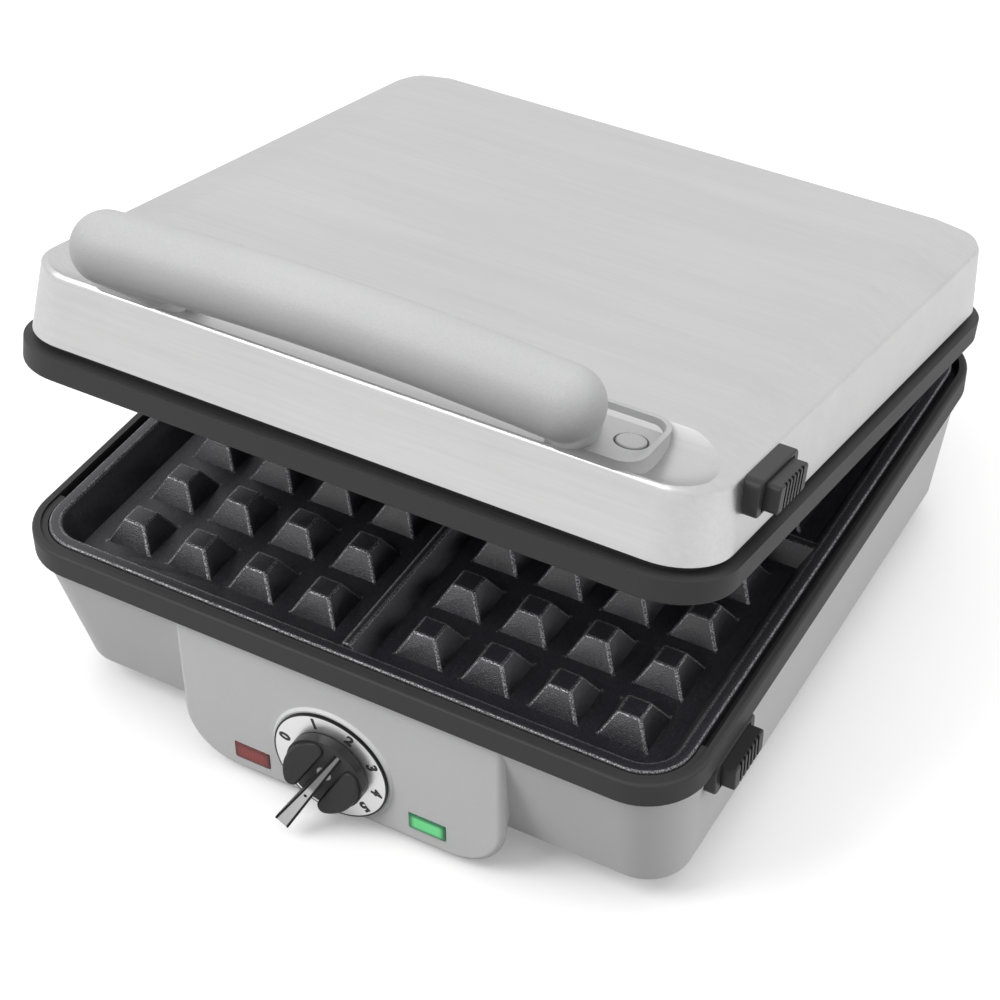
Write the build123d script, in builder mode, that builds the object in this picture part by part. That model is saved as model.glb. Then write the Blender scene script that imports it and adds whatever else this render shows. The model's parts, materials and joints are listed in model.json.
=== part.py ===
from build123d import *
import os
from math import atan, cos, degrees, radians, sin, tan

# Belgian waffle maker with a steel lid, millimetres.
# It stands on its feet at z = 0, with the handle and the controls towards -y and the buttons towards +x.
# It is drawn about the middle of its rims, and each piece is saved about the middle of the whole.

# Rims, the dark frames where the two halves meet
rim_width = 275.0
rim_depth = 282.0
rim_corner = 24.0
rim_bevel = 1.3
base_rim_height = 9.8
lid_rim_height = 8.9
rim_lip = 3.2
front_step = 2.6
front_step_drop = 0.9
front_step_run = 29.0
ledge_inset = 11.0
least_corner = 2.0
closed_gap = 2.5

# Lower housing, a tub that narrows towards its feet
foot_height = 14.0
tub_height = 57.2
tub_inset = 2.5
tub_side_draw = 6.7
tub_front_draw = 14.8
tub_foot_corner = 17.3
tub_wall = 2.5

# Control pod on the front of the tub
pod_setback = 2.7
pod_shift = 2.0
pod_width = 138.0
pod_ground = 2.2
pod_corner = 23.0
pod_depth = 30.0
pod_taper = 22.0
pod_edge = 2.5

# Grid plates
plate_inset = 6.2
band_width = 4.6
flange_height = 5.8
cavity_depth = 12.8
plate_height = 15.5
cavity_wall_run = 7.0
pyramid_base = 19.3
pyramid_top = 9.2
pyramid_height = 9.1
first_across = 22.05
first_along = 22.7
margin_across = 7.0
margin_along = 7.15
grid_shift = 2.0
ridge_base = 12.0
ridge_height = 8.7
ridge_slope = 63.0
rows = 4
plate_play = 0.4

# Lid
lid_ajar = 13.3
hinge_back = 27.4
hinge_drop = 6.85
shell_start = 12.2
shell_inset = 3.1
shell_draft = 6.0
shell_wall = 1.4
neck_top = 17.0
neck_step = 0.8
roof_height = 43.2
roof_drop = 5.2
side_facet = 20.6
front_facet = 20.6
rear_facet = 6.5
groove_depth = 3.8
roof_ease = 18.0
shoulder_ease = 2.5
shoulder_margin = 2.5
cove_radius = 26.0
cove_setback = 18.4
cove_lift = 61.3
cove_end = 25.5

# Handle
bar_radius = 12.4
bar_setback = -8.5
bar_lift = 65.1
bar_bow = 2.9
bar_end = 15.0
arm_radius = 7.5
arm_end = 3.8
arm_back = 28.6
arm_foot = 33.4
lug_inner = 70.0
lug_width = 35.0
lug_front = 6.0
lug_back = 37.0
lug_corner = 8.0
lug_lip = 1.8
lug_front_top = 41.0
lug_back_top = 44.2
lug_floor = 40.2
cap_radius = 5.1
cap_gap = 0.7
cap_deep = 2.6
cap_proud = 0.5
cap_edge = 0.6
cap_inset = 9.6
cap_back = 22.0
handle_screw = 2.0
handle_screw_head = 4.0
handle_screw_gap = 0.2
handle_screw_tip = 1.0

# Release buttons on the right side
button_back = 44.5
button_length = 23.5
button_tall = 10.0
button_corner = 1.5
button_edge = 0.8
button_proud = 5.3
button_play = 0.4
button_setback = 7.0
frame_length = 32.0
frame_tall = 13.6
frame_proud = 0.5
frame_corner = 3.0
frame_edge = 0.8
sleeve_wall = 1.0
sleeve_setback = 6.7
wall_play = 0.2
base_button_mid = 16.8
lid_button_mid = 30.4
groove_count = 6
groove_width = 1.4
groove_cut = 0.9

# Latch hooks inside, one on each button, and the catch under each plate
catch_setback = 19.5
catch_reach = 6.0
catch_drop = 7.5
catch_width = 8.0
hook_thick = 2.0
hook_width = 10.0
hook_play = 0.3
hook_bite = 2.5

# Temperature dial
dial_lift = 28.0
boss_foot = 25.6
boss_top = 24.6
boss_height = 1.0
ring_outer = 23.9
ring_inner = 9.0
ring_thick = 1.2
knob_radius = 15.9
knob_base = 4.0
knob_play = 0.3
lobe_inset = 0.9
lobe_slot = 10.0
lobe_end = 11.5
lobe_corner = 3.0
lobe_low = 6.5
lobe_high = 13.0
lobe_edge = 0.9
blade_angle = 30.0
blade_root = 15.4
blade_root_height = 5.5
blade_root_width = 3.2
blade_bend = 1.5
blade_bend_height = 14.8
blade_bend_width = 3.8
blade_tip = 22.5
blade_tip_height = 19.4
blade_tip_width = 6.2
blade_tip_thick = 2.6
blade_heel = 13.0
blade_heel_height = 9.0
strip_thick = 1.0
shaft_radius = 3.0
shaft_play = 0.05
shaft_length = 16.0
thermostat_size = 26.0
thermostat_depth = 14.0
thermostat_corner = 2.0

# Indicator lenses
lens_width = 15.5
lens_tall = 7.8
lens_proud = 0.5
lens_seat = 1.5
lens_play = 0.1
lens_corner = 1.0
lens_edge = 0.4
lamp_radius = 2.8
lamp_length = 12.0
red_lens = (-36.0, 13.4)
green_lens = (39.0, 14.5)

# Hinge
hinge_spread = 80.0
arm_thick = 14.0
cheek_thick = 5.0
cheek_play = 0.5
pin_radius = 3.0
pin_play = 0.05
pin_head = 4.6
pin_head_thick = 1.6
knuckle_radius = 9.5
bracket_foot = 42.0
bracket_top = 3.5
bracket_plate = 4.0
slot_play = 0.6

# Inner sheet and heating parts
sheet = 1.0
seat_gap = 0.3
tray_inset = 40.0
tray_flange = 7.0
tray_depth = 13.0
element_radius = 3.2
element_side = 20.5
element_end = 21.0
element_bend = 24.0
element_gap = 36.0

# Underside
cover_side = 40.0
cover_front = 42.0
cover_back = 17.0
cover_corner = 12.0
cover_thick = 2.5
cover_play = 0.2
cover_lip = 9.0
cover_screw_inset = 26.0
vent_length = 44.0
vent_width = 4.0
vent_pitch = 14.0
vent_count = 8
screw_radius = 1.5
screw_head = 3.0
foot_radius = 10.0
foot_taper = 4.0
foot_edge = 1.0
foot_stem = 4.0
foot_side = 27.0
foot_front = 38.5
foot_rear = 18.5

# Cord inlet on the back
inlet_side = 39.5
inlet_lift = 34.0
inlet_radius = 5.5
inlet_bore = 3.6
inlet_flange = 8.5
inlet_thick = 2.4
inlet_edge = 1.0
terminal_length = 42.0
terminal_depth = 14.0
terminal_height = 14.0
terminal_gap = 1.0

# Heights and places that follow from the sizes above
tub_top = foot_height + tub_height
rim_top = tub_top + base_rim_height
half_width = rim_width / 2
half_depth = rim_depth / 2
tub_half_width = half_width - tub_inset
tub_half_depth = half_depth - tub_inset
pod_face = -(half_depth - pod_setback)
frame_reach = half_width + frame_proud
button_reach = frame_reach + button_proud
button_root = half_width - button_setback
sleeve_end = half_width - sleeve_setback
catch_out = half_width - catch_setback
cove_reach = half_width - cove_end
hinge_y = half_depth + hinge_back
hinge_z = rim_top - hinge_drop
lid_foot = hinge_drop + closed_gap
shoulder_height = roof_height - roof_drop
tilt = radians(lid_ajar)

# The lid is drawn in its own frame, whose origin is the hinge axis and whose z is the lid's height.
lid_up = (0, sin(tilt), cos(tilt))
lid_rearward = (0, cos(tilt), -sin(tilt))
lid_plane = Plane(origin=(0, hinge_y, hinge_z), x_dir=(1, 0, 0), z_dir=lid_up)
lid_side = Plane(origin=(0, hinge_y, hinge_z), x_dir=lid_rearward, z_dir=(1, 0, 0))
lid_end = Plane(origin=(0, hinge_y, hinge_z), x_dir=(1, 0, 0), z_dir=(0, -cos(tilt), sin(tilt)))

# Each half has a face plane on its rim, with z towards the waffle and depth measured away from it.
base_face = Plane(origin=(0, 0, rim_top), x_dir=(1, 0, 0), z_dir=(0, 0, 1))
lid_face_origin = lid_plane.from_local_coords(Vector(0, -hinge_y, lid_foot))
lid_face = Plane(origin=lid_face_origin, x_dir=(1, 0, 0), z_dir=(0, -sin(tilt), -cos(tilt)))
pod_plane = Plane(origin=(0, pod_face, 0), x_dir=(1, 0, 0), z_dir=(0, -1, 0))
back_plane = Plane(origin=(0, tub_half_depth, 0), x_dir=(-1, 0, 0), z_dir=(0, 1, 0))
button_y = -(half_depth - button_back)
lid_front_y = -hinge_y - half_depth

# Grid pattern, spread between the divider and the walls of the cavity
cavity_inset = plate_inset + band_width
floor_inset = cavity_inset + cavity_wall_run
cavity_slope = degrees(atan(cavity_wall_run / cavity_depth))
pyramid_slope = degrees(atan((pyramid_base - pyramid_top) / 2 / pyramid_height))
last_across = half_width - floor_inset - margin_across - pyramid_base / 2
last_along = half_depth - floor_inset - margin_along - pyramid_base / 2
pitch_across = (last_across - first_across) / (rows - 1)
pitch_along = (last_along - first_along) / (rows - 1)
pocket_across = (first_across + last_across) / 2
pocket_along = (first_along + last_along) / 2

# Places of the smaller pieces
floor_top = foot_height + cover_thick + tub_wall
cover_width = 2 * (tub_half_width - cover_side)
cover_length = 2 * tub_half_depth - cover_front - cover_back
foot_x = tub_half_width - foot_side
foot_y = (foot_front - tub_half_depth, tub_half_depth - foot_rear)
element_width = 2 * (half_width - tray_inset - tray_flange - element_side)
element_depth = 2 * (half_depth - tray_inset - tray_flange - element_end)
cover_middle = (cover_front - cover_back) / 2
catch_foot = plate_height + catch_drop
sleeve_length = button_length + 2 * (button_play + sleeve_wall)
sleeve_tall = button_tall + 2 * (button_play + sleeve_wall)
middle_x = (button_reach - half_width) / 2
middle_y = (hinge_y + knuckle_radius + pod_face - blade_tip_height) / 2
lug_outer = lug_inner + lug_width
lug_middle = (lug_inner + lug_outer) / 2
bar_tip_out = lug_inner + bar_end
arm_out = lug_inner + arm_end
cap_out = lug_outer - cap_inset
lug_depth = lug_back - lug_front
lug_fall = degrees(atan((lug_back_top - lug_front_top) / lug_depth))
lug_y = lid_front_y + (lug_front + lug_back) / 2
lug_spots = [(-lug_middle, lug_y), (lug_middle, lug_y)]
handle_spots = [(-cap_out, lid_front_y + cap_back), (cap_out, lid_front_y + cap_back)]
head_seat = cove_lift - cove_radius - shell_wall - seat_gap
screw_top = lug_floor - cap_deep - handle_screw_tip
knob_foot = boss_height + ring_thick + knob_play
lever_turn = radians(blade_angle)
lever_plane = Plane(origin=(0, pod_face, dial_lift), x_dir=(-sin(lever_turn), 0, -cos(lever_turn)),
                    z_dir=(-cos(lever_turn), 0, sin(lever_turn)))
dial_plane = Plane(origin=(0, pod_face, dial_lift), x_dir=(cos(lever_turn), 0, -sin(lever_turn)), z_dir=(0, -1, 0))
lamp_y = pod_face + tub_wall + lens_seat + seat_gap + lamp_radius
inlet_out = half_width - inlet_side
terminal_y = tub_half_depth - tub_wall - terminal_gap - terminal_depth / 2
bracket_head = tub_top - bracket_top
fork_width = arm_thick + 2 * (cheek_play + cheek_thick)

os.makedirs("parts", exist_ok=True)


def save(part, name):
    """Writes a piece, placed so that the origin is under the middle of the whole."""
    placed = Pos(-middle_x, -middle_y, 0) * part
    placed.label = name
    export_step(placed, "parts/" + name + ".step")


def rim_outline(inset):
    RectangleRounded(rim_width - 2 * inset, rim_depth - 2 * inset, max(rim_corner - inset, least_corner))


def rim_outline_cut(inset):
    RectangleRounded(rim_width - 2 * inset, rim_depth - 2 * inset, max(rim_corner - inset, least_corner), mode=Mode.SUBTRACT)


def tub_block(wall, floor):
    """The tub's form, drawn in by a wall and cut off at a floor."""
    rise = (floor - foot_height) / tub_height
    side = tub_half_width - tub_side_draw * (1 - rise) - wall
    front = tub_half_depth - tub_front_draw * (1 - rise) - wall
    back = tub_half_depth - wall
    with BuildPart() as block:
        with BuildSketch(Plane.XY.offset(floor)):
            with Locations((0, (back - front) / 2)):
                RectangleRounded(2 * side, front + back, tub_foot_corner - wall)
        with BuildSketch(Plane.XY.offset(tub_top)):
            rim_outline(tub_inset + wall)
        loft(ruled=True)
    return block.part


def pod_block(wall):
    """The control pod, whose sides and floor draw in towards the tub."""
    tall = 2 * tub_top
    with BuildPart() as block:
        with BuildSketch(pod_plane.offset(-wall)):
            with Locations((pod_shift, pod_ground + wall + tall / 2)):
                RectangleRounded(pod_width - 2 * wall, tall, pod_corner - wall)
        extrude(amount=-(pod_depth - wall), taper=pod_taper)
        if wall == 0:
            face = block.faces().sort_by(Axis.Y)[0]
            fillet(face.edges(), pod_edge)
        split(bisect_by=Plane.XY.offset(tub_top), keep=Keep.BOTTOM)
    return block.part


def over_foot(edge):
    """The height of an edge's middle over the foot of the lid's rim."""
    return lid_plane.to_local_coords(edge @ 0.5).Z - lid_foot


def lid_block(wall):
    """The lid's form: drafted sides under a roof with a facet along each edge, and soft creases between them."""
    start = lid_foot + shell_start
    run = roof_height - shell_start - wall
    ease = tan(radians(shell_draft)) * (shoulder_height - shell_start)
    edge = half_width - shell_inset - ease
    lid_front = lid_front_y + shell_inset + ease
    lid_rear = -hinge_y + half_depth - shell_inset - ease
    top = lid_foot + roof_height - wall
    shoulder = lid_foot + shoulder_height - wall
    with BuildPart() as block:
        with BuildSketch(lid_plane.offset(start)):
            with Locations((0, -hinge_y)):
                rim_outline(shell_inset + wall)
        extrude(amount=run, taper=shell_draft)
        with BuildSketch(lid_end):
            with BuildLine():
                Polyline((-2 * edge, 0), (2 * edge, 0), (2 * edge, shoulder - roof_drop * edge / side_facet),
                         (edge - side_facet, top), (side_facet - edge, top),
                         (-2 * edge, shoulder - roof_drop * edge / side_facet), close=True)
            make_face()
        extrude(amount=2 * rim_depth, mode=Mode.INTERSECT)
        with BuildSketch(lid_side):
            with BuildLine():
                Polyline((lid_front - front_facet, 0), (lid_rear + rear_facet, 0),
                         (lid_rear + rear_facet, shoulder - roof_drop), (lid_rear - rear_facet, top),
                         (lid_front + front_facet, top), (lid_front - front_facet, shoulder - roof_drop),
                         close=True)
            make_face()
        extrude(amount=rim_width, both=True, mode=Mode.INTERSECT)
        above = shoulder_height + shoulder_margin - wall
        below = shoulder_height - shoulder_margin - wall
        fillet([edge for edge in block.edges() if over_foot(edge) > above], roof_ease - wall)
        fillet([edge for edge in block.edges() if below < over_foot(edge) < above], shoulder_ease - wall)
    return block.part


def cove_block(extra):
    """The scoop along the lid's front edge, a round trough with rounded ends."""
    middle_y = lid_front_y + cove_setback
    with BuildPart(lid_side) as block:
        with Locations((middle_y, lid_foot + cove_lift)):
            Cylinder(cove_radius + extra, 2 * cove_reach)
        with Locations((middle_y, lid_foot + cove_lift, -cove_reach), (middle_y, lid_foot + cove_lift, cove_reach)):
            Sphere(cove_radius + extra)
    return block.part


def lid_spot(x, back, height):
    """A point on the lid, from its front edge back and from the foot of its rim up."""
    return lid_plane.from_local_coords(Vector(x, lid_front_y + back, lid_foot + height))


def section_plane(face, along):
    """The upright plane across a half at a distance along it, with y away from the plate."""
    return Plane(origin=face.origin + face.y_dir * along, x_dir=face.x_dir, z_dir=-face.y_dir)


def right_plane(face, along, depth, reach):
    """The plane on a half's right side that a release button faces."""
    middle = face.origin + face.y_dir * along - face.z_dir * depth + face.x_dir * reach
    return Plane(origin=middle, x_dir=face.y_dir, z_dir=face.x_dir)


def grid_plate(face, side):
    """A cast plate: rim, tapered cavity, crossed divider, four pockets of pyramids and a catch."""
    shift = side * grid_shift
    with BuildPart() as plate:
        with BuildSketch(face):
            rim_outline(plate_inset)
        extrude(amount=-flange_height)
        with BuildSketch(face.offset(-flange_height)):
            rim_outline(ledge_inset + plate_play)
        extrude(amount=flange_height - plate_height)
        with BuildSketch(face):
            rim_outline(cavity_inset)
        extrude(amount=-cavity_depth, taper=cavity_slope, mode=Mode.SUBTRACT)
        with BuildSketch(face.offset(-cavity_depth)):
            with Locations((0, shift)):
                with GridLocations(2 * pocket_across, 2 * pocket_along, 2, 2):
                    with GridLocations(pitch_across, pitch_along, rows, rows):
                        Rectangle(pyramid_base, pyramid_base)
        extrude(amount=pyramid_height, taper=pyramid_slope)
        with BuildSketch(section_plane(face, shift)):
            with Locations((0, -cavity_depth)):
                Trapezoid(ridge_base, ridge_height, ridge_slope, align=(Align.CENTER, Align.MIN))
        extrude(amount=half_depth - ledge_inset - plate_play - grid_shift, both=True)
        with BuildSketch(Plane(origin=face.origin + face.y_dir * shift, x_dir=face.y_dir, z_dir=face.x_dir)):
            with Locations((0, -cavity_depth)):
                Trapezoid(ridge_base, ridge_height, ridge_slope, align=(Align.CENTER, Align.MIN))
        extrude(amount=half_width - ledge_inset - plate_play, both=True)
        with BuildSketch(section_plane(face, side * button_y)):
            with BuildLine():
                Polyline((catch_out, -plate_height), (catch_out, -catch_foot),
                         (catch_out - catch_reach, -catch_foot),
                         (catch_out - catch_reach, hook_thick - catch_foot),
                         (catch_out - hook_thick, hook_thick - catch_foot),
                         (catch_out - hook_thick, -plate_height), close=True)
            make_face()
        extrude(amount=catch_width / 2, both=True)
    return plate.part


def latch_hook(face, side, depth):
    """The hook behind a release button, whose claw lies over the foot of the plate's catch."""
    low = catch_foot + hook_play
    tip = catch_out - catch_reach + hook_bite
    heel = catch_out - catch_reach - hook_thick
    claw = catch_foot - hook_thick - hook_play
    with BuildPart() as hook:
        with BuildSketch(section_plane(face, side * button_y)):
            with BuildLine():
                Polyline((button_root, -low), (button_root, -low - hook_thick), (heel - hook_thick, -low - hook_thick),
                         (heel - hook_thick, hook_thick - claw), (tip, hook_thick - claw), (tip, -claw),
                         (heel, -claw), (heel, -low), close=True)
            make_face()
            with BuildLine():
                Polyline((button_root, -low - hook_thick), (button_root, -depth), (button_root - hook_thick, -depth),
                         (button_root - hook_thick, -low - hook_thick), close=True)
            make_face()
        extrude(amount=hook_width / 2, both=True)
    return hook.part


def release_frame(face, side, depth, form):
    """The dark frame round a release button, with a sleeve through the wall."""
    with BuildPart() as frame:
        with BuildSketch(right_plane(face, side * button_y, depth, frame_reach)):
            RectangleRounded(frame_length, frame_tall, frame_corner)
        extrude(amount=sleeve_end - frame_reach)
        fillet(frame.faces().sort_by(Axis.X)[-1].edges(), frame_edge)
        add(form, mode=Mode.SUBTRACT)
        with BuildSketch(right_plane(face, side * button_y, depth, frame_reach - frame_corner)):
            Rectangle(sleeve_length, sleeve_tall)
        extrude(amount=sleeve_end - frame_reach + frame_corner)
        with BuildSketch(right_plane(face, side * button_y, depth, frame_reach)):
            Rectangle(button_length + 2 * button_play, button_tall + 2 * button_play)
        extrude(amount=sleeve_end - frame_reach, mode=Mode.SUBTRACT)
    return frame.part


def release_opening(face, side, depth):
    """The hole through the wall for a release button's sleeve."""
    with BuildPart() as opening:
        with BuildSketch(right_plane(face, side * button_y, depth, frame_reach)):
            Rectangle(sleeve_length + 2 * wall_play, sleeve_tall + 2 * wall_play)
        extrude(amount=button_root - hook_thick - frame_reach)
    return opening.part


def release_button(face, side, depth):
    """A push button with upright finger grooves."""
    with BuildPart() as button:
        with BuildSketch(right_plane(face, side * button_y, depth, button_reach)):
            RectangleRounded(button_length, button_tall, button_corner)
        extrude(amount=button_root - button_reach)
        fillet(button.faces().sort_by(Axis.X)[-1].edges(), button_edge)
        with BuildSketch(right_plane(face, side * button_y, depth, button_reach)):
            with GridLocations(2 * groove_width, 0, groove_count, 1):
                Rectangle(groove_width, button_tall)
        extrude(amount=-groove_cut, mode=Mode.SUBTRACT)
    return button.part


def heating_element(face):
    """A sheathed heating rod bent to a loop under a plate."""
    with BuildPart() as element:
        with BuildLine(face.offset(-plate_height - seat_gap - element_radius)) as path:
            FilletPolyline((-element_gap / 2, element_depth / 2), (-element_width / 2, element_depth / 2),
                           (-element_width / 2, -element_depth / 2), (element_width / 2, -element_depth / 2),
                           (element_width / 2, element_depth / 2), (element_gap / 2, element_depth / 2),
                           radius=element_bend)
        with BuildSketch(Plane(origin=path.line @ 0, z_dir=path.line % 0)):
            Circle(element_radius)
        sweep()
    return element.part


def heat_reflector(face):
    """The sheet tray that closes the heating rod in against the plate."""
    with BuildPart() as tray:
        with BuildSketch(face.offset(-plate_height)):
            rim_outline(tray_inset)
        extrude(amount=-sheet)
        with BuildSketch(face.offset(-plate_height)):
            rim_outline(tray_inset + tray_flange)
        extrude(amount=-tray_depth)
        with BuildSketch(face.offset(-plate_height)):
            rim_outline(tray_inset + tray_flange + sheet)
        extrude(amount=sheet - tray_depth, mode=Mode.SUBTRACT)
    return tray.part


# Lower housing: tub and pod in one moulding, open at the top and closed below by a cover
tub_form = tub_block(0, foot_height)
pod_form = pod_block(0)
cover_spots = GridLocations(cover_width - cover_lip, cover_length - 2 * cover_screw_inset, 2, 2).local_locations
cover_spots = [spot.position + Vector(0, cover_middle) for spot in cover_spots]
foot_spots = [(x, y) for x in (-foot_x, foot_x) for y in foot_y]

with BuildPart() as lower_housing:
    add(tub_form)
    add(pod_form)
    with BuildSketch(pod_plane.offset(-pod_edge)):
        with Locations((0, dial_lift)):
            Circle(boss_foot)
    extrude(amount=pod_edge)
    with BuildSketch(pod_plane):
        with Locations((0, dial_lift)):
            Circle(boss_foot)
    with BuildSketch(pod_plane.offset(boss_height)):
        with Locations((0, dial_lift)):
            Circle(boss_top)
    loft()
    add(tub_block(tub_wall, floor_top), mode=Mode.SUBTRACT)
    add(pod_block(tub_wall), mode=Mode.SUBTRACT)
    with BuildSketch(Plane.XY.offset(foot_height)):
        with Locations((0, cover_middle)):
            RectangleRounded(cover_width, cover_length, cover_corner)
    extrude(amount=cover_thick, mode=Mode.SUBTRACT)
    with BuildSketch(Plane.XY.offset(foot_height)):
        with Locations((0, cover_middle)):
            RectangleRounded(cover_width - 2 * cover_lip, cover_length - 2 * cover_lip, cover_corner - cover_lip)
    extrude(amount=cover_thick + tub_wall, mode=Mode.SUBTRACT)
    with BuildSketch(Plane.XY.offset(foot_height)):
        with Locations(*cover_spots):
            Circle(screw_radius + shaft_play)
        with Locations(*foot_spots):
            Circle(foot_stem + shaft_play)
    extrude(amount=floor_top - foot_height, mode=Mode.SUBTRACT)
    with BuildSketch(pod_plane.offset(boss_height)):
        with Locations((0, dial_lift)):
            Circle(shaft_radius + shaft_play)
        with Locations(red_lens, green_lens):
            Rectangle(lens_width, lens_tall)
    extrude(amount=-boss_height - tub_wall, mode=Mode.SUBTRACT)
    with BuildSketch(back_plane):
        with Locations((inlet_out, inlet_lift)):
            Circle(inlet_radius + shaft_play)
    extrude(amount=-tub_wall, mode=Mode.SUBTRACT)
    add(release_opening(base_face, 1, base_button_mid), mode=Mode.SUBTRACT)
save(lower_housing.part, "lower_housing")

# Base rim: a lip, a groove and a ledge that carries the plate, with a step round the front
with BuildPart() as base_rim:
    with BuildSketch(Plane.XY.offset(tub_top)):
        rim_outline(0)
    extrude(amount=base_rim_height)
    fillet(base_rim.faces().sort_by(Axis.Z)[-1].edges(), rim_bevel)
    with BuildSketch(base_face):
        rim_outline(rim_lip)
    extrude(amount=-flange_height, mode=Mode.SUBTRACT)
    with BuildSketch(base_face.offset(-front_step_drop)):
        rim_outline(rim_lip)
        rim_outline_cut(rim_lip + front_step)
        with Locations((0, front_step_run)):
            Rectangle(rim_width, rim_depth, mode=Mode.SUBTRACT)
    extrude(amount=front_step_drop - flange_height)
    with BuildSketch(base_face):
        rim_outline(ledge_inset)
    extrude(amount=-base_rim_height, mode=Mode.SUBTRACT)
save(base_rim.part, "base_rim")

# Underside: vented cover, its screws and the feet
with BuildPart() as bottom_cover:
    with BuildSketch(Plane.XY.offset(foot_height)):
        with Locations((0, cover_middle)):
            RectangleRounded(cover_width - 2 * cover_play, cover_length - 2 * cover_play, cover_corner - cover_play)
            with GridLocations(vent_length + vent_pitch, vent_pitch, 2, vent_count):
                SlotOverall(vent_length, vent_width, mode=Mode.SUBTRACT)
    extrude(amount=cover_thick)
    with Locations(*[Vector(spot.X, spot.Y, foot_height) for spot in cover_spots]):
        Cone(screw_head + shaft_play, screw_radius + shaft_play, screw_head - screw_radius,
             align=(Align.CENTER, Align.CENTER, Align.MIN), mode=Mode.SUBTRACT)
        Cylinder(screw_radius + shaft_play, cover_thick, align=(Align.CENTER, Align.CENTER, Align.MIN),
                 mode=Mode.SUBTRACT)
save(bottom_cover.part, "bottom_cover")

with BuildPart() as cover_screws:
    with Locations(*[Vector(spot.X, spot.Y, foot_height) for spot in cover_spots]):
        Cone(screw_head, screw_radius, screw_head - screw_radius, align=(Align.CENTER, Align.CENTER, Align.MIN))
        Cylinder(screw_radius, floor_top - foot_height, align=(Align.CENTER, Align.CENTER, Align.MIN))
save(cover_screws.part, "cover_screws")

with BuildPart() as rubber_feet:
    with BuildSketch():
        with Locations(*foot_spots):
            Circle(foot_radius)
    extrude(amount=foot_height, taper=-foot_taper)
    with BuildSketch(Plane.XY.offset(foot_height)):
        with Locations(*foot_spots):
            Circle(foot_stem)
    extrude(amount=floor_top - foot_height)
    fillet(rubber_feet.faces().group_by(Axis.Z)[0].edges(), foot_edge)
save(rubber_feet.part, "rubber_feet")

# Grid plates, heating rods and reflectors, one set in each half
save(grid_plate(base_face, 1), "lower_grid_plate")
save(heating_element(base_face), "lower_heating_element")
save(heat_reflector(base_face), "lower_heat_reflector")
save(grid_plate(lid_face, -1), "upper_grid_plate")
save(heating_element(lid_face), "upper_heating_element")
save(heat_reflector(lid_face), "upper_heat_reflector")

# Lid: steel shell with a scooped front, and a rim whose neck stands inside it
lid_form = lid_block(0)
with BuildPart() as lid_solid:
    add(lid_form)
    add(cove_block(0), mode=Mode.SUBTRACT)

with BuildPart() as lid_hollow:
    add(lid_block(shell_wall))
    add(cove_block(shell_wall), mode=Mode.SUBTRACT)

with BuildPart() as lid_shell:
    add(lid_solid.part)
    add(lid_hollow.part, mode=Mode.SUBTRACT)
    add(release_opening(lid_face, -1, lid_button_mid), mode=Mode.SUBTRACT)
    with BuildSketch(lid_plane.offset(lid_foot)):
        with Locations(*handle_spots):
            Circle(handle_screw + handle_screw_gap)
    extrude(amount=roof_height, mode=Mode.SUBTRACT)
save(lid_shell.part, "lid_shell")

with BuildPart() as lid_rim:
    with BuildSketch(lid_face):
        rim_outline(0)
    extrude(amount=-lid_rim_height)
    fillet(lid_rim.faces().sort_by(Axis(lid_face.origin, lid_face.z_dir))[-1].edges(), rim_bevel)
    with BuildSketch(lid_face.offset(-lid_rim_height)):
        rim_outline(shell_inset + groove_depth)
    extrude(amount=lid_rim_height - shell_start - neck_step)
    with BuildSketch(lid_face.offset(-shell_start - neck_step)):
        rim_outline(shell_inset + shell_wall + seat_gap + neck_step * tan(radians(shell_draft)))
    extrude(amount=shell_start + neck_step - neck_top, taper=shell_draft)
    with BuildSketch(lid_face):
        rim_outline(rim_lip)
    extrude(amount=-flange_height, mode=Mode.SUBTRACT)
    with BuildSketch(lid_face):
        rim_outline(ledge_inset)
    extrude(amount=-neck_top, mode=Mode.SUBTRACT)
save(lid_rim.part, "lid_rim")

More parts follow.
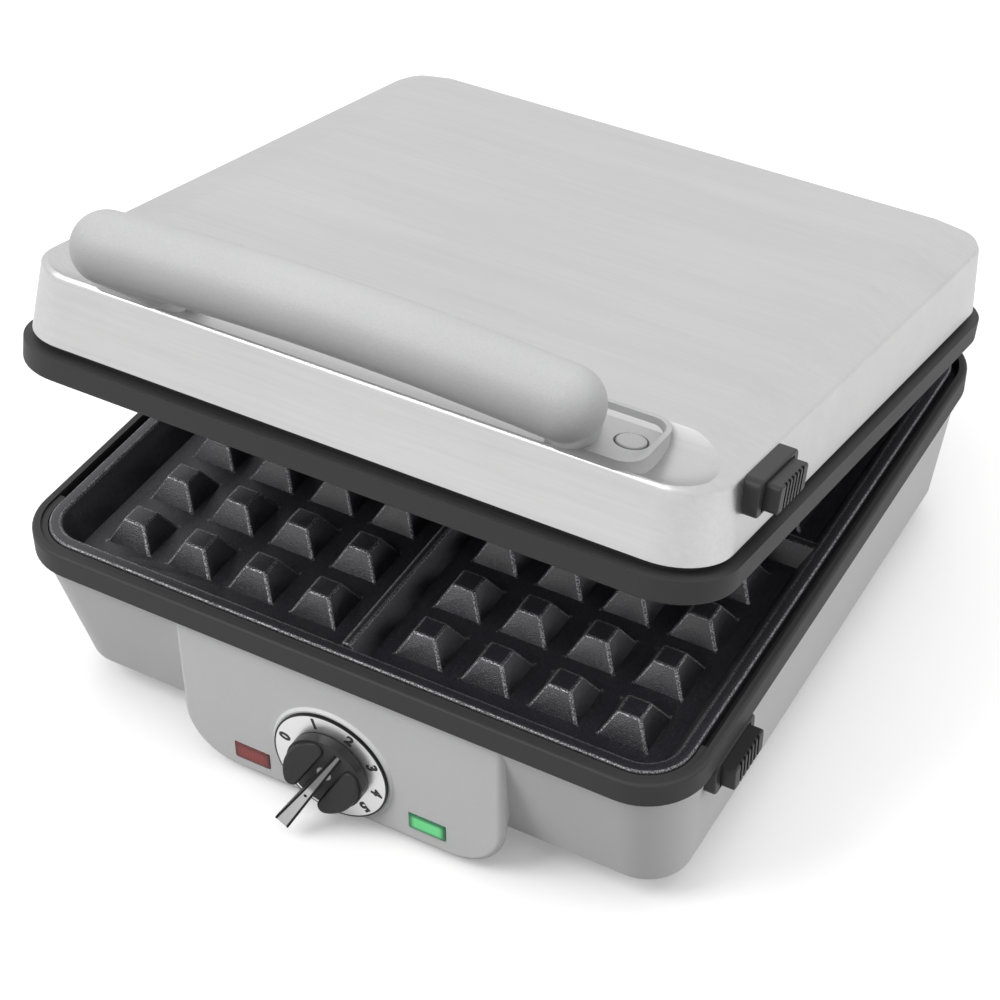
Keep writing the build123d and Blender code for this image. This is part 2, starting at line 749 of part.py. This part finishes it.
# Handle: a bowed bar whose ends run back and down into two dished lugs in the lid's scoop
with BuildPart() as handle:
    with BuildSketch(lid_plane.offset(lid_foot + shell_start)):
        with Locations(*lug_spots):
            RectangleRounded(lug_width, lug_depth, lug_corner)
    extrude(amount=roof_height)
    with BuildSketch(lid_side):
        with Locations((lid_front_y + lug_front, lid_foot + lug_front_top)):
            Rectangle(4 * lug_depth, 2 * roof_height, rotation=lug_fall, align=(Align.CENTER, Align.MIN))
    extrude(amount=lug_outer, both=True, mode=Mode.SUBTRACT)
    with BuildSketch(lid_plane.offset(lid_foot + lug_floor)):
        with Locations(*lug_spots):
            RectangleRounded(lug_width - 2 * lug_lip, lug_depth - 2 * lug_lip, lug_corner - lug_lip)
    extrude(amount=roof_height, mode=Mode.SUBTRACT)
    bar_ends = [lid_spot(end * bar_tip_out, bar_setback, bar_lift - bar_bow) for end in (-1, 1)]
    arm_feet = [lid_spot(end * arm_out, arm_back, arm_foot) for end in (-1, 1)]
    with BuildLine() as bar_path:
        ThreePointArc(bar_ends[0], lid_spot(0, bar_setback, bar_lift), bar_ends[1])
    with BuildSketch(Plane(origin=bar_path.line @ 0, z_dir=bar_path.line % 0)):
        Circle(bar_radius)
    sweep()
    for bar_tip, foot in zip(bar_ends, arm_feet):
        with Locations(Plane(origin=bar_tip, z_dir=foot - bar_tip)):
            Sphere(bar_radius)
            Cone(bar_radius, arm_radius, (foot - bar_tip).length, align=(Align.CENTER, Align.CENTER, Align.MIN))
    with BuildSketch(lid_plane.offset(lid_foot + lug_floor - cap_deep)):
        with Locations(*handle_spots):
            Circle(cap_radius + cap_gap)
    extrude(amount=cap_deep, mode=Mode.SUBTRACT)
    with BuildSketch(lid_plane.offset(lid_foot)):
        with Locations(*handle_spots):
            Circle(handle_screw + shaft_play)
    extrude(amount=screw_top, mode=Mode.SUBTRACT)
    add(lid_solid.part, mode=Mode.SUBTRACT)
save(handle.part, "handle")

with BuildPart() as handle_caps:
    with BuildSketch(lid_plane.offset(lid_foot + lug_floor - cap_deep)):
        with Locations(*handle_spots):
            Circle(cap_radius)
    extrude(amount=cap_deep + cap_proud)
    fillet(handle_caps.faces().sort_by(Axis(lid_plane.origin, lid_plane.z_dir))[-2:].edges(), cap_edge)
save(handle_caps.part, "handle_caps")

with BuildPart() as handle_screws:
    with BuildSketch(lid_plane.offset(lid_foot + head_seat)):
        with Locations(*handle_spots):
            Circle(handle_screw_head)
    extrude(amount=-handle_screw_head / 2)
    with BuildSketch(lid_plane.offset(lid_foot + head_seat)):
        with Locations(*handle_spots):
            Circle(handle_screw)
    extrude(amount=screw_top - head_seat)
save(handle_screws.part, "handle_screws")

# Plate releases: frame, push button and latch hook on each half
save(release_frame(base_face, 1, base_button_mid, tub_form), "lower_release_frame")
save(release_button(base_face, 1, base_button_mid), "lower_release_button")
save(latch_hook(base_face, 1, base_button_mid), "lower_latch")
save(release_frame(lid_face, -1, lid_button_mid, lid_form), "upper_release_frame")
save(release_button(lid_face, -1, lid_button_mid), "upper_release_button")
save(latch_hook(lid_face, -1, lid_button_mid), "upper_latch")

# Temperature dial: printed ring, knob with a lever, its bright strip, shaft and thermostat
with BuildPart() as dial_ring:
    with BuildSketch(pod_plane.offset(boss_height)):
        with Locations((0, dial_lift)):
            Circle(ring_outer)
            Circle(ring_inner, mode=Mode.SUBTRACT)
    extrude(amount=ring_thick)
save(dial_ring.part, "dial_ring")

with BuildPart() as knob_lever:
    with BuildSketch(lever_plane):
        with BuildLine():
            Polyline((-blade_root, knob_foot), (-blade_root, blade_root_height), (blade_bend, blade_bend_height),
                     (blade_tip, blade_tip_height), (blade_tip, blade_tip_height - blade_tip_thick),
                     (blade_heel, blade_heel_height), (blade_heel, knob_foot), close=True)
        make_face()
    extrude(amount=blade_tip_width, both=True)
    with BuildSketch(dial_plane):
        with BuildLine():
            Polyline((-blade_root_width / 2, blade_root), (blade_root_width / 2, blade_root),
                     (blade_bend_width / 2, -blade_bend), (blade_tip_width / 2, -blade_tip),
                     (-blade_tip_width / 2, -blade_tip), (-blade_bend_width / 2, -blade_bend), close=True)
        make_face()
    extrude(amount=2 * blade_tip_height, mode=Mode.INTERSECT)

with BuildPart() as knob_pointer:
    add(knob_lever.part)
    with BuildSketch(lever_plane):
        with BuildLine():
            Polyline((-blade_root, 0), (-blade_root, blade_root_height - strip_thick),
                     (blade_bend, blade_bend_height - strip_thick), (blade_tip, blade_tip_height - strip_thick),
                     (blade_tip, 0), close=True)
        make_face()
    extrude(amount=blade_tip_width, both=True, mode=Mode.SUBTRACT)
save(knob_pointer.part, "knob_pointer")

with BuildPart() as temperature_knob:
    with BuildSketch(dial_plane.offset(knob_foot)):
        Circle(knob_radius)
    extrude(amount=knob_base)
    with BuildSketch(dial_plane.offset(knob_foot)) as lobes:
        Circle(knob_radius - lobe_inset)
        Rectangle(lobe_slot, 2 * knob_radius, mode=Mode.SUBTRACT)
        with Locations((0, lobe_end)):
            Rectangle(2 * knob_radius, knob_radius, align=(Align.CENTER, Align.MIN), mode=Mode.SUBTRACT)
        fillet(lobes.vertices(), lobe_corner)
    extrude(amount=lobe_high)
    with BuildSketch(lever_plane):
        with BuildLine():
            Polyline((-knob_radius, lobe_low), (knob_radius, lobe_high), (knob_radius, 2 * lobe_high),
                     (-knob_radius, 2 * lobe_high), close=True)
        make_face()
    extrude(amount=knob_radius, both=True, mode=Mode.SUBTRACT)
    fillet(temperature_knob.faces().sort_by(Axis.Y)[:2].edges(), lobe_edge)
    add(knob_lever.part)
    add(knob_pointer.part, mode=Mode.SUBTRACT)
    with BuildSketch(pod_plane.offset(knob_foot)):
        with Locations((0, dial_lift)):
            Circle(shaft_radius)
    extrude(amount=knob_base, mode=Mode.SUBTRACT)
save(temperature_knob.part, "temperature_knob")

with BuildPart() as thermostat_shaft:
    with BuildSketch(pod_plane.offset(knob_foot + knob_base)):
        with Locations((0, dial_lift)):
            Circle(shaft_radius)
    extrude(amount=-shaft_length)
save(thermostat_shaft.part, "thermostat_shaft")

with BuildPart() as thermostat:
    with BuildSketch(pod_plane.offset(-tub_wall)):
        with Locations((0, dial_lift)):
            RectangleRounded(thermostat_size, thermostat_size, thermostat_corner)
            Circle(shaft_radius + shaft_play, mode=Mode.SUBTRACT)
    extrude(amount=-thermostat_depth)
save(thermostat.part, "thermostat")

# Indicator lenses and the lamps behind them
for place, name in ((red_lens, "heating_light_lens"), (green_lens, "ready_light_lens")):
    with BuildPart() as lens:
        with BuildSketch(pod_plane.offset(lens_proud)):
            with Locations(place):
                RectangleRounded(lens_width - 2 * lens_play, lens_tall - 2 * lens_play, lens_corner)
        extrude(amount=-lens_proud - tub_wall)
        fillet(lens.faces().sort_by(Axis.Y)[0].edges(), lens_edge)
        with BuildSketch(pod_plane.offset(-tub_wall)):
            with Locations(place):
                RectangleRounded(lens_width + lens_seat, lens_tall + lens_seat, lens_corner)
        extrude(amount=-lens_seat)
    save(lens.part, name)

with BuildPart(Plane.YZ) as indicator_lamps:
    with Locations((lamp_y, red_lens[1], red_lens[0]), (lamp_y, green_lens[1], green_lens[0])):
        Cylinder(lamp_radius, lamp_length)
save(indicator_lamps.part, "indicator_lamps")

# Cord inlet and the terminal block inside
with BuildPart() as cord_inlet:
    with BuildSketch(back_plane):
        with Locations((inlet_out, inlet_lift)):
            Circle(inlet_flange)
    extrude(amount=inlet_thick)
    fillet(cord_inlet.faces().sort_by(Axis.Y)[-1].edges(), inlet_edge)
    with BuildSketch(back_plane):
        with Locations((inlet_out, inlet_lift)):
            Circle(inlet_radius)
    extrude(amount=-tub_wall)
    with BuildSketch(back_plane.offset(-tub_wall)):
        with Locations((inlet_out, inlet_lift)):
            Circle(inlet_flange)
    extrude(amount=-inlet_thick)
    with BuildSketch(back_plane.offset(inlet_thick)):
        with Locations((inlet_out, inlet_lift)):
            Circle(inlet_bore)
    extrude(amount=-2 * inlet_thick - tub_wall, mode=Mode.SUBTRACT)
save(cord_inlet.part, "cord_inlet")

with BuildPart() as terminal_block:
    with BuildSketch(Plane.XY.offset(floor_top)):
        with Locations((0, terminal_y)):
            Rectangle(terminal_length, terminal_depth)
    extrude(amount=terminal_height)
    with BuildSketch(Plane.XY.offset(floor_top + terminal_height)):
        with Locations((0, terminal_y)):
            with GridLocations(terminal_length / 3, 0, 3, 1):
                Rectangle(terminal_length / 5, terminal_depth)
    extrude(amount=-terminal_height / 3, mode=Mode.SUBTRACT)
save(terminal_block.part, "terminal_block")

# Hinge: two forked brackets on the tub, two arms on the lid rim, and a pin through each pair
with BuildPart() as hinge_brackets:
    for side in (-1, 1):
        with BuildSketch(Plane.YZ.offset(side * hinge_spread)):
            with Locations((tub_half_depth + bracket_plate / 2, (bracket_foot + bracket_head) / 2)):
                Rectangle(bracket_plate, bracket_head - bracket_foot)
            with Locations((hinge_y, hinge_z)):
                Circle(knuckle_radius)
            make_hull()
        extrude(amount=fork_width / 2, both=True)
        with BuildSketch(Plane.YZ.offset(side * hinge_spread)):
            with Locations((tub_half_depth + bracket_plate, hinge_z - knuckle_radius - slot_play)):
                Rectangle(rim_depth, rim_depth, align=(Align.MIN, Align.MIN))
        extrude(amount=arm_thick / 2 + cheek_play, both=True, mode=Mode.SUBTRACT)
        with BuildSketch(Plane.YZ.offset(side * hinge_spread)):
            with Locations((hinge_y, hinge_z)):
                Circle(pin_radius + pin_play)
        extrude(amount=fork_width / 2, both=True, mode=Mode.SUBTRACT)
save(hinge_brackets.part, "hinge_brackets")

with BuildPart() as hinge_pins:
    for side in (-1, 1):
        with BuildSketch(Plane.YZ.offset(side * hinge_spread)):
            with Locations((hinge_y, hinge_z)):
                Circle(pin_radius)
        extrude(amount=fork_width / 2 + pin_head_thick, both=True)
        with BuildSketch(Plane.YZ.offset(side * hinge_spread)):
            with Locations((hinge_y, hinge_z)):
                Circle(pin_head)
        extrude(amount=fork_width / 2 + pin_head_thick, both=True)
        with BuildSketch(Plane.YZ.offset(side * hinge_spread)):
            with Locations((hinge_y, hinge_z)):
                Circle(pin_head)
                Circle(pin_radius, mode=Mode.SUBTRACT)
        extrude(amount=fork_width / 2, both=True, mode=Mode.SUBTRACT)
save(hinge_pins.part, "hinge_pins")

with BuildPart() as lid_hinge_arms:
    for side in (-1, 1):
        with BuildSketch(lid_side.offset(side * hinge_spread)):
            with Locations((-hinge_back, lid_foot + rim_bevel)):
                Rectangle(bracket_plate, lid_rim_height - rim_bevel, align=(Align.MIN, Align.MIN))
            Circle(knuckle_radius)
            make_hull()
            Circle(pin_radius + pin_play, mode=Mode.SUBTRACT)
        extrude(amount=arm_thick / 2, both=True)
save(lid_hinge_arms.part, "lid_hinge_arms")
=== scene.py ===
import json
from math import cos, pi, radians, sin

import bmesh
import bpy
from mathutils import Matrix, Vector


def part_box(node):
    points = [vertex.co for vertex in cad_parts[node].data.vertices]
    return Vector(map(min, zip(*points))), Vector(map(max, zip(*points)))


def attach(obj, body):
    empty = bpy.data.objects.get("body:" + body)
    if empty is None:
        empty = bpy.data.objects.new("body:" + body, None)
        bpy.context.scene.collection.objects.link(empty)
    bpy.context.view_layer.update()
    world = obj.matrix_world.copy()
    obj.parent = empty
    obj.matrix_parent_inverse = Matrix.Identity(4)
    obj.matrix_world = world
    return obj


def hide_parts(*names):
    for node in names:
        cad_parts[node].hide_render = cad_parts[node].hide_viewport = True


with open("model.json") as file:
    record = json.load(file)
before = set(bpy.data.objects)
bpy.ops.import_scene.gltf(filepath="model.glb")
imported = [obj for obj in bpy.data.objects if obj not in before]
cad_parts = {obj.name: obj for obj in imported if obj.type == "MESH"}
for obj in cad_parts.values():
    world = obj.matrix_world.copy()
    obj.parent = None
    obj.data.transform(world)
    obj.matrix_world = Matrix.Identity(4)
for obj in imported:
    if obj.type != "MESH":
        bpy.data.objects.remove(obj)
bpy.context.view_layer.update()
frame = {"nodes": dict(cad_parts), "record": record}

nodes = frame["nodes"]
bpy.ops.object.select_all(action="DESELECT")

# The dial's middle and the front of its ring
ring_low, ring_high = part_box("dial_ring")
dial_x, dial_z = (ring_low[0] + ring_high[0]) / 2, (ring_low[2] + ring_high[2]) / 2
ring_front = ring_low[1]


class Wire:
    """One output of a shader node. Arithmetic on wires adds Math nodes."""

    def __init__(self, tree, socket):
        self.tree, self.socket = tree, socket

    def math(self, operation, *values):
        return self.tree.add("Math", {"operation": operation}, *values)

    def __add__(self, other):
        return self.math("ADD", self, other)

    def __radd__(self, other):
        return self.math("ADD", other, self)

    def __sub__(self, other):
        return self.math("SUBTRACT", self, other)

    def __rsub__(self, other):
        return self.math("SUBTRACT", other, self)

    def __mul__(self, other):
        return self.math("MULTIPLY", self, other)

    def __pow__(self, other):
        return self.math("POWER", self, other)

    def __abs__(self):
        return self.math("ABSOLUTE", self)

    def root(self):
        return self.math("SQRT", self)

    def wave(self):
        return self.math("SINE", self)

    def or_more(self, other):
        """The larger of two values."""
        return self.math("MAXIMUM", self, other)

    def rise(self, low, high):
        """0 below one value, 1 above another and a soft step between them."""
        return self.tree.add("MapRange", {"interpolation_type": "SMOOTHSTEP"}, self, low, high)


class Graph:
    """A node tree, of a material or of the world."""

    def __init__(self, owner):
        owner.use_nodes = True
        self.nodes, self.links = owner.node_tree.nodes, owner.node_tree.links

    def fill(self, socket, value):
        """Puts a wire or a fixed value into an input."""
        if isinstance(value, Wire):
            self.links.new(value.socket, socket)
        else:
            socket.default_value = value

    def add(self, kind, settings, *values, out=0, **named):
        """Adds a node of a kind, sets it up, fills its inputs by place or by name and gives one output."""
        node = self.nodes.new("ShaderNode" + kind)
        for key, value in settings.items():
            setattr(node, key, value)
        for key, value in enumerate(values):
            self.fill(node.inputs[key], value)
        for key, value in named.items():
            self.fill(node.inputs[key.replace("_", " ")], value)
        return Wire(self, node.outputs[out])

    def seen_directly(self):
        """The camera's own rays, and then those with the rays of mirrors and clear pieces too."""
        camera, glossy, through = (self.add("LightPath", {}, out=f"Is {kind} Ray")
                                   for kind in ("Camera", "Glossy", "Transmission"))
        return camera, camera.or_more(glossy).or_more(through)


class Finish(Graph):
    """A procedural material: a surface shader and the nodes that feed it."""

    def __init__(self, name, color, roughness, metallic=0.0, **fixed):
        self.material = bpy.data.materials.new(name)
        super().__init__(self.material)
        self.shader = next(n for n in self.nodes if n.type == "BSDF_PRINCIPLED")
        self.coords = self.add("TexCoord", {}, out="Object")
        self.set(Base_Color=(*color, 1), Roughness=roughness, Metallic=metallic, **fixed)

    def set(self, **inputs):
        """Feeds the shader's inputs with wires or fixed values."""
        for key, value in inputs.items():
            self.fill(self.shader.inputs[key.replace("_", " ")], value)
        return self

    def noise(self, scale, detail=2.0, rough=0.5, stretch=(1, 1, 1)):
        """Fractal noise with a feature about 1/scale metres across, stretched along an axis."""
        place = self.add("Mapping", {}, self.coords, Scale=stretch)
        return self.add("TexNoise", {}, Vector=place, Scale=scale, Detail=detail, Roughness=rough)

    def blend(self, factor, low, high):
        """A colour between two, by a wire."""
        mix = self.nodes.new("ShaderNodeMix")
        mix.data_type = "RGBA"
        colors = [(*c, 1) if isinstance(c, tuple) else c for c in (low, high)]
        self.fill(mix.inputs["Factor"], factor)
        self.fill(mix.inputs[6], colors[0])
        self.fill(mix.inputs[7], colors[1])
        return Wire(self, mix.outputs[2])

    def across_and_up(self):
        """How far a point is to the right, and how high."""
        return [self.add("SeparateXYZ", {}, self.coords, out=axis) for axis in ("X", "Z")]

    def bump(self, height, distance):
        return self.set(Normal=self.add("Bump", {}, Height=height, Distance=distance))


def painted(name, color, roughness, grain=0.00003, spread=0.05, scale=900.0, **fixed):
    """A sprayed or moulded surface with a fine skin and slightly uneven tone."""
    finish = Finish(name, color, roughness, **fixed)
    fine = finish.noise(scale, 3.0, 0.6)
    cloud = finish.noise(18.0, 2.0)
    darker = tuple(c * (1 - spread) for c in color)
    lighter = tuple(min(c * (1 + spread), 1) for c in color)
    finish.set(Base_Color=finish.blend(fine * 0.5 + cloud * 0.5, darker, lighter),
               Roughness=roughness + (cloud - 0.5) * 0.12 + (fine - 0.5) * 0.1)
    return finish.bump(fine, grain)


def handled(name, color, base, swing, scale, detail=3.0, stretch=(1, 1, 1), metallic=1.0):
    """Plain metal or glass whose roughness varies a little."""
    finish = Finish(name, color, base + swing / 2, metallic)
    return finish.set(Roughness=base + finish.noise(scale, detail, stretch=stretch) * swing)


def plate_finish():
    """Non-stick coating on cast aluminium, a little pebbly."""
    finish = Finish("plate_coating", (0.022, 0.021, 0.028), 0.3, Specular_IOR_Level=0.8)
    pebble = finish.noise(1900.0, 2.0, 0.7)
    patch = finish.noise(160.0, 2.0)
    finish.set(Base_Color=finish.blend(pebble.rise(0.52, 0.72), (0.018, 0.017, 0.022), (0.06, 0.058, 0.068)),
               Roughness=0.24 + pebble * 0.14 + patch * 0.06)
    return finish.bump(pebble, 0.00015)


def edge_finish():
    """The same coating on the casting's rounded edges, thin there so that specks of bare metal gleam
    through; the paler specks are also a painted highlight along the edges.
    """
    finish = Finish("thin_coat_and_highlight", (0.1, 0.1, 0.105), 0.35)
    pebble = finish.noise(1900.0, 2.0, 0.7)
    # Paler, metallic specks of bare metal, which also paint a highlight along every rounded edge
    bare_and_highlight = pebble.rise(0.42, 0.62)
    finish.set(Base_Color=finish.blend(bare_and_highlight, (0.03, 0.029, 0.034), (0.34, 0.34, 0.35)),
               Metallic=bare_and_highlight * 0.9, Roughness=0.3 + pebble * 0.14)
    return finish.bump(pebble, 0.00015)


def lid_finish():
    """Brushed stainless sheet, with the grain from side to side."""
    finish = Finish("lid_steel", (0.66, 0.66, 0.66), 0.34, 1.0)
    brush = finish.noise(700.0, 4.0, 0.7, stretch=(0.03, 1, 1))
    wide_brush = finish.noise(60.0, 3.0, 0.6, stretch=(0.1, 1, 1))
    cloud = finish.noise(9.0, 2.0)
    tone = brush * 0.45 + wide_brush * 0.3 + cloud * 0.25
    finish.set(Roughness=0.3 + brush * 0.12,
               Base_Color=finish.blend(tone, (0.48, 0.48, 0.48), (0.74, 0.74, 0.74)))
    return finish.bump(brush, 0.000014)


def lens_finish(name, node, middle, border, glow):
    """A ribbed lens, brighter in the middle and darker along its border."""
    low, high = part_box(node)
    finish = Finish(name, middle, 0.22, Emission_Strength=glow)
    x, z = finish.across_and_up()
    across = abs(x - (low[0] + high[0]) / 2)
    along = abs(z - (low[2] + high[2]) / 2)
    inside = (1.0 - across.rise(0.0048, 0.0076)) * (1.0 - along.rise(0.0016, 0.0038))
    ribs = (x * 5200.0).wave()
    finish.set(Base_Color=finish.blend(inside, border, middle), Roughness=0.2 + ribs * 0.06)
    if glow:
        finish.set(Emission_Color=finish.blend(inside, tuple(c * 0.25 for c in border), middle))
    return finish.bump(ribs, 0.00004)


def pointer_finish():
    """The lever's strip: satin metal between black margins, with a black dot just past its bend."""
    finish = Finish("pointer_metal", (0.45, 0.45, 0.45), 0.3, 1.0)
    x, z = finish.across_and_up()
    lean = radians(30.0)
    down_lever = (dial_x - x) * sin(lean) + (dial_z - z) * cos(lean)
    off_middle = abs((dial_x - x) * cos(lean) + (z - dial_z) * sin(lean))
    margin = (off_middle - down_lever * 0.045).rise(0.0010, 0.0013)
    from_dot = ((down_lever - 0.0048) ** 2.0 + off_middle ** 2.0).root()
    dot = 1.0 - from_dot.rise(0.0005, 0.0008)
    grain = finish.noise(800.0, 3.0)
    # The strip is darker over the knob's middle and lighter out along the lever
    tone = finish.blend(down_lever.rise(0.0, 0.0025), (0.2, 0.2, 0.2), (0.5, 0.5, 0.5))
    return finish.set(Base_Color=finish.blend(margin.or_more(dot), tone, (0.02, 0.02, 0.02)),
                      Roughness=0.28 + grain * 0.12)


def ring_finish():
    """The dial's ring is bright, with a dark line along its outside."""
    finish = Finish("ring_metal", (0.8, 0.8, 0.8), 0.25, 1.0)
    x, z = finish.across_and_up()
    spin_marks = finish.noise(900.0, 2.0)
    outline = ((x - dial_x) ** 2.0 + (z - dial_z) ** 2.0).root().rise(0.0231, 0.0234)
    return finish.set(Base_Color=finish.blend(outline, (0.84, 0.84, 0.84), (0.03, 0.03, 0.03)),
                      Roughness=0.3 + spin_marks * 0.04)


# Every material slot of the record has a finish of its own
finishes = {
    "housing_paint": painted("housing_paint", (0.82, 0.82, 0.825), 0.5, spread=0.08, scale=1500.0),
    "rim_plastic": painted("rim_plastic", (0.048, 0.048, 0.048), 0.55, spread=0.15, scale=1400.0,
                           Specular_IOR_Level=0.25),
    "black_plastic": painted("black_plastic", (0.03, 0.03, 0.03), 0.42, spread=0.1, scale=1200.0,
                             Specular_IOR_Level=0.3),
    "handle_silver": painted("handle_silver", (0.5, 0.5, 0.505), 0.42, grain=0.0001, spread=0.22,
                             scale=1500.0, Specular_IOR_Level=0.25),
    "rubber": painted("rubber", (0.03, 0.03, 0.03), 0.75),
    "pale_ceramic": painted("pale_ceramic", (0.7, 0.68, 0.62), 0.5),
    "plate_coating": plate_finish(),
    "lid_steel": lid_finish(),
    "bright_metal": handled("bright_metal", (0.5, 0.5, 0.5), 0.28, 0.12, 700.0),
    "zinc_steel": handled("zinc_steel", (0.5, 0.5, 0.5), 0.28, 0.2, 500.0),
    "tray_metal": handled("tray_metal", (0.6, 0.6, 0.6), 0.22, 0.2, 300.0, stretch=(0.1, 1, 1)),
    "element_sheath": handled("element_sheath", (0.12, 0.11, 0.1), 0.4, 0.3, 300.0, metallic=0.8),
    "lamp_glass": handled("lamp_glass", (0.9, 0.85, 0.8), 0.05, 0.1, 200.0, 1.0, metallic=0.0),
    "red_lens": lens_finish("red_lens", "heating_light_lens", (0.38, 0.045, 0.04), (0.14, 0.012, 0.01), 0.0),
    "green_lens": lens_finish("green_lens", "ready_light_lens", (0.12, 0.6, 0.22), (0.0, 0.15, 0.05), 0.5),
}
print_black = painted("print_black", (0.012, 0.012, 0.012), 0.5)
# The rounded edges' thin coating, whose paler specks are also a painted highlight
thin_coat_and_highlight = edge_finish()

for entry in frame["record"]["subparts"]:
    mesh = nodes[entry["node"]].data
    mesh.materials.clear()
    mesh.materials.append(finishes[entry["material_slot"]].material)
nodes["dial_ring"].data.materials[0] = ring_finish().material
nodes["knob_pointer"].data.materials[0] = pointer_finish().material


def choose(*pieces):
    """Selects only these pieces, the first one as the active one."""
    bpy.ops.object.select_all(action="DESELECT")
    for piece in pieces:
        piece.select_set(True)
    bpy.context.view_layer.objects.active = pieces[0]


# The castings are rounded over along their outward edges, where two faces turn by more than least_turn
edge_rounding, least_turn, smooth_turn, same_point = 0.0009, radians(28), radians(35), 0.000002


def merged_copy(node, name):
    """A copy of a node's mesh with its loose corners joined."""
    piece = nodes[node].copy()
    piece.data = nodes[node].data.copy()
    piece.name = piece.data.name = name
    bpy.context.collection.objects.link(piece)
    choose(piece)
    bpy.ops.mesh.customdata_custom_splitnormals_clear()
    bpy.ops.object.mode_set(mode="EDIT")
    bpy.ops.mesh.select_all(action="SELECT")
    bpy.ops.mesh.remove_doubles(threshold=same_point)
    bpy.ops.object.mode_set(mode="OBJECT")
    return piece


def mark_outward_edges(piece):
    shell = bmesh.new()
    shell.from_mesh(piece.data)
    weight = shell.edges.layers.float.new("bevel_weight_edge")
    for edge in shell.edges:
        if len(edge.link_faces) == 2 and edge.is_convex and edge.calc_face_angle() > least_turn:
            edge[weight] = 1
    shell.to_mesh(piece.data)
    shell.free()


def eased_casting(node, name, body):
    """A copy of a cast node with its outward edges rounded over, thinly coated and given a painted
    highlight.
    """
    piece = merged_copy(node, name)
    mark_outward_edges(piece)
    # The rounded edges get the thin coating with its painted highlight
    piece.data.materials.append(thin_coat_and_highlight.material)
    easing = piece.modifiers.new("easing", "BEVEL")
    easing.width, easing.segments, easing.limit_method = edge_rounding, 3, "WEIGHT"
    easing.use_clamp_overlap = False
    easing.material = 1
    bpy.ops.object.modifier_apply(modifier=easing.name)
    bpy.ops.object.shade_smooth_by_angle(angle=smooth_turn)
    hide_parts(node)
    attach(piece, body)


eased_casting("lower_grid_plate", "lower_waffle_casting", "base")
eased_casting("upper_grid_plate", "upper_waffle_casting", "lid")

# Numbers printed round the dial's ring, at angles in degrees from its top, each with its foot inwards
numeral_turns = {"0": -72, "1": -17, "2": 27, "3": 65, "4": 102, "5": 136}
numeral_radius, numeral_tall = 0.0197, 0.0062
ink_thick, ink_bold, ink_lift = 0.00003, 0.00032, 0.00004


def numeral(label, clockwise):
    bpy.ops.object.text_add()
    piece = bpy.context.object
    piece.data.body = label
    piece.data.align_x = piece.data.align_y = "CENTER"
    piece.data.size, piece.data.extrude, piece.data.offset = numeral_tall, ink_thick, ink_bold
    bpy.ops.object.convert(target="MESH")
    lean = radians(clockwise)
    spot = Matrix.Translation((dial_x + numeral_radius * sin(lean), ring_front - ink_lift,
                               dial_z + numeral_radius * cos(lean)))
    piece.matrix_world = spot @ Matrix.Rotation(lean, 4, "Y") @ Matrix.Rotation(pi / 2, 4, "X")
    choose(piece)
    bpy.ops.object.transform_apply(location=True, rotation=True, scale=True)
    return piece


choose(*[numeral(label, clockwise) for label, clockwise in numeral_turns.items()])
bpy.ops.object.join()
dial_numbers = bpy.context.object
dial_numbers.name = dial_numbers.data.name = "dial_numbers"
dial_numbers.data.materials.clear()
dial_numbers.data.materials.append(print_black.material)
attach(dial_numbers, "base")

# A pale floor that throws little light back on the part
bpy.ops.mesh.primitive_plane_add(size=8.0)
floor = bpy.context.object
floor.name = "floor"
pale_floor = Finish("pale_floor", (0.93, 0.93, 0.93), 0.9, Emission_Strength=1.0)
to_camera, seen = pale_floor.seen_directly()
pale_floor.set(Base_Color=pale_floor.blend(seen, (0.1, 0.1, 0.1), (0.96, 0.955, 0.955)),
               Emission_Color=pale_floor.blend(to_camera, (0, 0, 0), (0.22, 0.217, 0.217)))
floor.data.materials.append(pale_floor.material)

# White surroundings, which light the part less than they show
world = bpy.data.worlds.new("studio")
bpy.context.scene.world = world
studio = Graph(world)
backdrop = studio.nodes["Background"]
backdrop.inputs["Color"].default_value = (1, 1, 1, 1)
to_camera, seen = studio.seen_directly()
studio.fill(backdrop.inputs["Strength"], studio.add("Mix", {}, Factor=seen, A=0.38, B=1.0))


def softbox(name, place, aim, size, power, glossy=True):
    bpy.ops.object.light_add(type="AREA", location=place)
    lamp = bpy.context.object
    lamp.name = name
    lamp.data.shape = "RECTANGLE"
    lamp.data.size, lamp.data.size_y = size
    lamp.data.energy = power
    lamp.visible_glossy = glossy
    lamp.rotation_euler = (Vector(aim) - Vector(place)).to_track_quat("-Z", "Y").to_euler()


softbox("overhead", (0.1, 0.3, 3.0), (0, 0, 0.1), (4.0, 4.0), 60.0, False)
softbox("front_left", (-0.75, -1.05, 1.4), (0, 0, 0.08), (0.8, 0.8), 14.0)
softbox("right", (1.6, 0.2, 0.8), (0, 0, 0.08), (0.9, 0.7), 6.0, False)

# The camera stands where the photograph was taken, by the part's perspective
camera_place = (0.341815, -0.64098, 0.67015)
camera_around, camera_above, camera_roll = radians(29.193), radians(40.841), radians(-0.2405)
bpy.ops.object.camera_add()
camera = bpy.context.object
camera.data.lens, camera.data.sensor_width = 86.85, 36.0
around = Matrix.Rotation(camera_around, 4, "Z")
upward = Matrix.Rotation(pi / 2 - camera_above, 4, "X")
rolled = Matrix.Rotation(camera_roll, 4, "Z")
camera.matrix_world = Matrix.Translation(camera_place) @ around @ upward @ rolled
bpy.context.scene.camera = camera
bpy.context.scene.view_settings.view_transform = "Standard"
